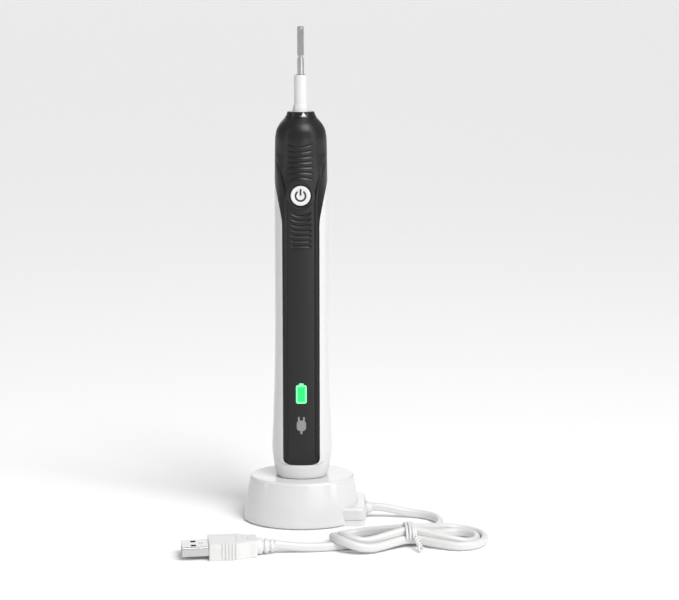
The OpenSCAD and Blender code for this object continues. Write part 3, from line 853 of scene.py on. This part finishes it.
def make_housing(mat):
    """The white housing, from the base cap's arched edge up to the black head."""
    rows = [CAP_TOP + x * MM for x in (0, 0.1, 0.3, 0.7, 1.2, 1.8, 2.5, 3.2, 4, 5, 6.5, 8)]
    rows += row_heights(rows[-1] + 1.5 * MM, SHELL_TOP, SHELL_STEPS)
    rows.append(SHELL_TOP)
    columns = 89
    # the arch of the bottom edge has faded from the rows of points at this distance above it
    reach = 8 * MM
    verts = []
    for row in rows:
        for i in range(columns):
            t = i / (columns - 1)
            start = black_half_angle(row) + SHELL_GAP / handle_radius(row)
            angle = start + (2 * math.pi - 2 * start) * t
            turned = angle if angle < math.pi else angle - 2 * math.pi
            bend = max(0.0, 1 - (row - CAP_TOP) / reach)
            h = row + (cap_edge(turned) - CAP_TOP) * bend + SHELL_GAP
            # the edge along the black grip turns in a little
            lip = 0.18 * MM * math.exp(-(t * (1 - t) * (2 * math.pi - 2 * start)
                                         * handle_radius(h) / (0.35 * MM)))
            verts.append(on_handle(h, turned, -lip))
    faces = ring_faces(len(rows), columns, closed=False)
    shell = mesh_piece("handle_shell", verts, faces, mat["white_shell"])
    thicken(shell, SHELL_WALL)
    shell.data.set_sharp_from_angle(angle=math.radians(50))
    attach(shell, "handle")
    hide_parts("handle_housing")


def make_base_cap(mat):
    """The handle's cap, with the well that the charger's post stands in."""
    angles = [2 * math.pi * i / AROUND for i in range(AROUND)]

    def handle_ring(h, inset=0.0):
        return [on_handle(h, a - math.pi, -inset) for a in angles]

    def well_ring(z, grow):
        outline = rounded_outline(4.95 * MM + grow, 4.2 * MM + grow, 2.65 * MM + grow, AROUND)
        # start at the back and turn the same way as the handle's rings
        quarter = AROUND // 4
        points = [outline[(quarter - i) % AROUND] for i in range(AROUND)]
        return [Vector((-x, y, DECK_Z + z)) for x, y in points]

    def round_ring(radius, h):
        return [Vector((radius * math.sin(a - math.pi), -radius * math.cos(a - math.pi),
                        DECK_Z + h)) for a in angles]

    rings = [well_ring(15.6 * MM, -3.5 * MM), well_ring(15.6 * MM, 0), well_ring(0.5 * MM, 0),
             well_ring(0.0, 0.5 * MM), handle_ring(0.0, 0.7 * MM)]
    for h, inset in ((0.08, 0.25), (0.3, 0.05), (0.8, 0.0), (2.5, 0.0), (5.0, 0.0)):
        rings.append(handle_ring(h * MM, inset * MM))
    for drop, inset in ((0.35, 0.0), (0.1, 0.06), (0.0, 0.3)):
        rings.append([on_handle(cap_edge(a - math.pi) - drop * MM, a - math.pi, -inset * MM)
                      for a in angles])
    rings += [round_ring(10.5 * MM, 7.4 * MM), round_ring(10.5 * MM, 11 * MM),
              round_ring(9.75 * MM, 11 * MM), round_ring(9.75 * MM, 2 * MM),
              well_ring(2 * MM, 1.2 * MM), well_ring(16.8 * MM, 1.2 * MM),
              well_ring(16.8 * MM, -3.5 * MM)]
    cap = loft("base_cap_shell", rings, mat["white_shell"], 40)
    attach(cap, "handle")
    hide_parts("base_cap")


def make_button(mat):
    """The button's white cap, and the black well that it sinks into."""
    well_outline = [(2.0, 8.8), (6.6, 8.8), (6.6, 10.4), (5.27, 10.5), (5.25, 9.7), (5.1, 9.4),
                    (2.0, 9.4)]
    well = lathe("button_well", in_metres(well_outline), mat["black_plastic"], 96, ring=True)
    face_front(well)
    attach(well, "handle")
    cap_outline = [(0.4, 8.7), (1.5, 8.7), (1.6, 8.8), (1.6, 9.9), (4.3, 9.95), (4.6, 10.2),
                   (4.6, 10.75), (4.52, 10.98), (4.3, 11.1), (3.9, 11.12), (3.4, 11.06),
                   (2.0, 11.02), (0.4, 11.0)]
    button = lathe("button_cap", in_metres(cap_outline), mat["white_plastic"], 96)
    face_front(button)
    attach(button, "button")
    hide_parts("power_button")


def make_collar(mat):
    h = DECK_Z / MM
    collar_outline = [(4.2, 171.5), (7.1, 171.5), (7.25, 171.65), (7.2, 172.0), (6.75, 172.5),
                      (6.5, 173.2), (6.35, 173.9), (6.2, 174.2), (5.9, 174.3), (4.2, 174.3)]
    collar = lathe("collar_ring", in_metres([(r, z + h) for r, z in collar_outline]),
                   mat["black_plastic"], 96, 50)
    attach(collar, "handle")
    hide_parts("top_collar")


# ---- cord, tie and plug ----

def hank_point(u, v, z):
    """A point of the hank, from its place along and across the hank."""
    c, s = math.cos(HANK_TURN), math.sin(HANK_TURN)
    return (TIE_AT[0] + u * c - v * s, TIE_AT[1] + u * s + v * c, z)


def fold(side, radius, leave, arrive, heights):
    """One turned-back fold of the hank, from one slot in the tie to another."""
    out = -side
    arc = []
    last = len(heights) - 1
    for k, z in enumerate(heights):
        a = math.radians(LOBE_HALF_TURN * (1 - 2 * k / last))
        arc.append((side * (LOBE_CENTRE + radius * math.cos(a)), out * radius * math.sin(a), z))

    def halfway(slot, point):
        return (point[0] * 0.55, slot[0] + (point[1] - slot[0]) * 0.48,
                (slot[1] + point[2]) / 2)

    points = [halfway(leave, arc[0]), *arc, halfway(arrive, arc[-1])]
    return [hank_point(*p) for p in points]


def through_tie(slot, going):
    """The two points where a run passes the tie, to the right or to the left."""
    return [hank_point(-going * 2.2, *slot), hank_point(going * 2.2, *slot)]


def cord_route():
    """The cord from end to end: lead, two turns to each side of the tie, and tail."""
    # each run's (distance across, height) in the tie
    first, low_front, high_back, high_front, middle = (
        (3.8, 3.3), (-3.8, 3.3), (1.9, 6.6), (-1.9, 6.6), (0.0, 3.3))
    route = LEAD + through_tie(first, -1)
    route += fold(-1, WIDE_LOBE, first, low_front, (1.9, 1.9, 2.2, 4.4, 5.7, 4.0, 2.2))
    route += through_tie(low_front, 1)
    route += fold(1, WIDE_LOBE, low_front, high_back, (1.9, 1.9, 1.9, 1.9, 1.9, 2.0, 3.0))
    route += through_tie(high_back, -1)
    route += fold(-1, NARROW_LOBE, high_back, high_front,
                  (3.6, 2.6, 3.2, 4.9, 5.8, 5.2, 4.2))
    route += through_tie(high_front, 1)
    route += fold(1, NARROW_LOBE, high_front, middle, (3.4, 2.2, 1.9, 1.9, 1.9, 1.9, 1.9))
    route += through_tie(middle, -1) + TAIL
    return [Vector((x * MM, y * MM, z * MM * CORD_LIFT)) for x, y, z in route]


def smooth_line(points, steps):
    """A smooth line near the given points, from the first to the last."""
    ends = [points[0]] * 2 + points + [points[-1]] * 2
    line = []
    for a, b, c, d in zip(ends, ends[1:], ends[2:], ends[3:]):
        for i in range(steps):
            t = i / steps
            line.append((a * (1 - t) ** 3 + b * (3 * t ** 3 - 6 * t * t + 4)
                         + c * (-3 * t ** 3 + 3 * t * t + 3 * t + 1) + d * t ** 3) / 6)
    return line + [points[-1]]


def cord_ring(centre, along):
    """The cord's outline across its run: an oval on edge, with a seam between its two cores."""
    side = along.cross(Vector((0, 0, 1))).normalized()
    up = side.cross(along).normalized()
    ring = []
    for i in range(32):
        a = 2 * math.pi * i / 32
        x, z = CORD_HALF[0] * math.cos(a), CORD_HALF[1] * math.sin(a)
        x *= 1 - 0.12 * math.exp(-(z / (0.5 * MM)) ** 2)
        ring.append(centre + side * x + up * z)
    return ring


def make_tie(mat):
    """Plastic-coated wire wrapped round the waist and twisted off in front."""
    points = []
    steps = 16
    for i in range(TIE_WRAPS * steps + 1):
        t = i / steps
        a = 2 * math.pi * t + math.radians(-60)
        wobble = 0.35 * math.sin(5.1 * t + 1)
        v = 6.3 * math.cos(a)
        z = 5.3 + 4.6 * math.sin(a)
        u = -2.1 + 1.15 * t + wobble
        points.append(hank_point(u, v, max(z, 0.7)))
    knot = hank_point(2.2, -6.6, 4.4)
    ends = []
    for sign in (0, 1):
        twist = []
        for k in range(17):
            s = k / 16
            a = 2 * math.pi * 2.2 * s + math.pi * sign
            r = 0.68 + 1.6 * max(0, s - 0.75)
            along = hank_point(2.2 + 1.4 * s, -7.0 - 6.5 * s, 5.2 - 3.6 * s)
            twist.append((along[0] + r * math.cos(a), along[1] - 0.2 * r,
                          max(along[2] + r * math.sin(a), 0.7)))
        ends.append(twist)
    route = list(reversed(ends[0])) + [knot] + points + [knot] + ends[1]
    tie = wire_piece("wire_tie", [tuple(c * MM for c in p) for p in route], TIE_WIRE,
                     mat["tie_white"])
    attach(tie, "charger")
    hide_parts("cord_tie")
    return tie


def place_on_plug(obj):
    obj.data.transform(Matrix.Translation(PLUG_AT) @ Matrix.Rotation(PLUG_TURN, 4, "Z"))


def make_plug_grip(mat):
    """The plug's moulded body, with the grooves on its two sides and the marks on its top."""
    near = [(x, -y) for x, y in PLUG_SIDE]
    outline = in_metres(near + PLUG_SIDE[::-1])
    half = GRIP_HALF_H
    body = prism("plug_grip", outline, -half, half, mat["white_plastic"])
    soften(body, 1.0 * MM, 5, 40)
    for s in (-1, 1):
        for i in range(5):
            x = (18.0 + i * 1.5) * MM
            groove = block("groove", (x, s * 7.85 * MM - 0.5 * MM, -4 * MM),
                           (x + 0.75 * MM, s * 7.85 * MM + 0.5 * MM, 4 * MM),
                           mat["white_plastic"])
            cut(body, groove)
    line = 0.32 * MM
    deep = 0.28 * MM
    # a two-sided corner line pressed into the top, and a gate mark behind it
    for low, high in (((17.4, -4.8), (26.6, -4.8)), ((17.4, -4.8), (17.4, 4.4))):
        tool = block("line", (low[0] * MM - line / 2, low[1] * MM - line / 2, half - deep),
                     (high[0] * MM + line / 2, high[1] * MM + line / 2, half + MM),
                     mat["white_plastic"])
        cut(body, tool)
    dot = lathe("dot", [(0.3 * MM, half - 0.35 * MM), (0.6 * MM, half - 0.3 * MM),
                        (0.62 * MM, half + MM)], mat["white_plastic"], 24)
    dot.data.transform(Matrix.Translation((12.4 * MM, 0, 0)))
    cut(body, dot)
    socket = block("socket", (27 * MM, -6.02 * MM, -2.27 * MM), (31 * MM, 6.02 * MM, 2.27 * MM),
                   mat["white_plastic"])
    cut(body, socket)
    place_on_plug(body)
    body.data.set_sharp_from_angle(angle=math.radians(40))
    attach(body, "charger")
    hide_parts("usb_overmould")
    return body


def make_relief(mat):
    """The ribbed strain relief that the cord runs into."""
    relief_outline = [(1.95, 0.0), (2.6, 0.05), (2.9, 0.4), (2.95, 1.6), (2.5, 1.9), (2.4, 2.6),
                      (3.0, 2.9), (3.3, 3.2), (3.35, 4.4), (2.7, 4.7), (2.6, 5.3), (3.4, 5.6),
                      (3.7, 6.0), (3.75, 7.4), (3.75, 8.0)]
    relief = lathe("plug_relief", in_metres(relief_outline), mat["white_plastic"], 48, 50)
    relief.data.transform(Matrix.Rotation(math.pi / 2, 4, "Y"))
    place_on_plug(relief)
    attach(relief, "charger")
    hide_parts("usb_strain_relief")
    return relief


def make_shell(mat):
    """The plug's folded steel shell, open in front, with two latch windows above and below."""
    start, end, wall = 27 * MM, 42 * MM, 0.3 * MM

    def tube(low, high, inset, mouth, name):
        rings = []
        for x, grow in ((low, 0), (high - 0.7 * MM, 0), (high, mouth)):
            outline = rounded_outline(SHELL_HALF[0] - inset + grow,
                                      SHELL_HALF[1] - inset + grow, SHELL_CORNER - inset, 96)
            rings.append([Vector((x, y, z)) for y, z in outline])
        return loft(name, rings, mat["plated_steel"], 50)

    shell = tube(start, end, 0, 0, "plug_shell")
    cut(shell, tube(start - MM, end + MM, wall, 0.12 * MM, "inside"))
    for y in (-2.9, 2.9):
        window = block("latch", (end - 6.35 * MM, (y - 1.15) * MM, -4 * MM),
                       (end - 4.05 * MM, (y + 1.15) * MM, 4 * MM), mat["plated_steel"])
        cut(shell, window)
    dimple_outline = [(0.73, 2.13), (0.76, 2.5), (1.06, 2.5), (1.03, 2.13)]
    dimple = lathe("dimple", in_metres(dimple_outline), mat["plated_steel"], 30, ring=True)
    dimple.data.transform(Matrix.Translation((33.4 * MM, 0, 0)))
    cut(shell, dimple)
    seam = block("seam", (start - MM, -0.06 * MM, -3 * MM), (end + MM, 0.06 * MM, -MM),
                 mat["plated_steel"])
    cut(shell, seam)
    place_on_plug(shell)
    shell.data.set_sharp_from_angle(angle=math.radians(40))
    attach(shell, "charger")
    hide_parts("usb_shell")
    return shell


def make_cord(mat):
    """The cord from the charger to its plug, with the tie and the plug that it carries."""
    line = smooth_line(cord_route(), 9)
    ends = [line[0] - (line[1] - line[0])] + line + [line[-1] + (line[-1] - line[-2])]
    rings = [cord_ring(here, after - before)
             for before, here, after in zip(ends, line, ends[2:])]
    cord = loft("cord", rings, mat["cord_pvc"], 60)
    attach(cord, "charger")
    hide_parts("cord_lead", "cord_hank", "cord_tail")
    tie = make_tie(mat)
    plug = [make_plug_grip(mat), make_relief(mat), make_shell(mat)]


# ---- the frame's own pieces ----

def dress_nodes(mat):
    """Every CAD node that stays gets its finish."""
    for part in frame["record"]["subparts"]:
        node = frame["nodes"][part["node"]]
        finish = mat[part["material_slot"]]
        for slot in node.material_slots:
            slot.material = finish


def add_floor():
    far = FLOOR_REACH
    corners = [(-far, -far, 0), (far, -far, 0), (far, far, 0), (-far, far, 0)]
    floor = mesh_piece("floor", corners, [(0, 1, 2, 3)],
                       plastic("pale_floor", (0.98, 0.98, 0.98), 0.7, 0.01, 400, 0.02,
                               Specular_IOR_Level=0.2))
    floor.location.z = -FLOOR_DROP


def main():
    add_camera()
    materials = make_materials()
    make_cord(materials)
    dress_nodes(materials)
    make_charger(materials)
    make_grip(materials)
    make_housing(materials)
    make_base_cap(materials)
    make_button(materials)
    make_collar(materials)
    add_lights()
    add_floor()


main()
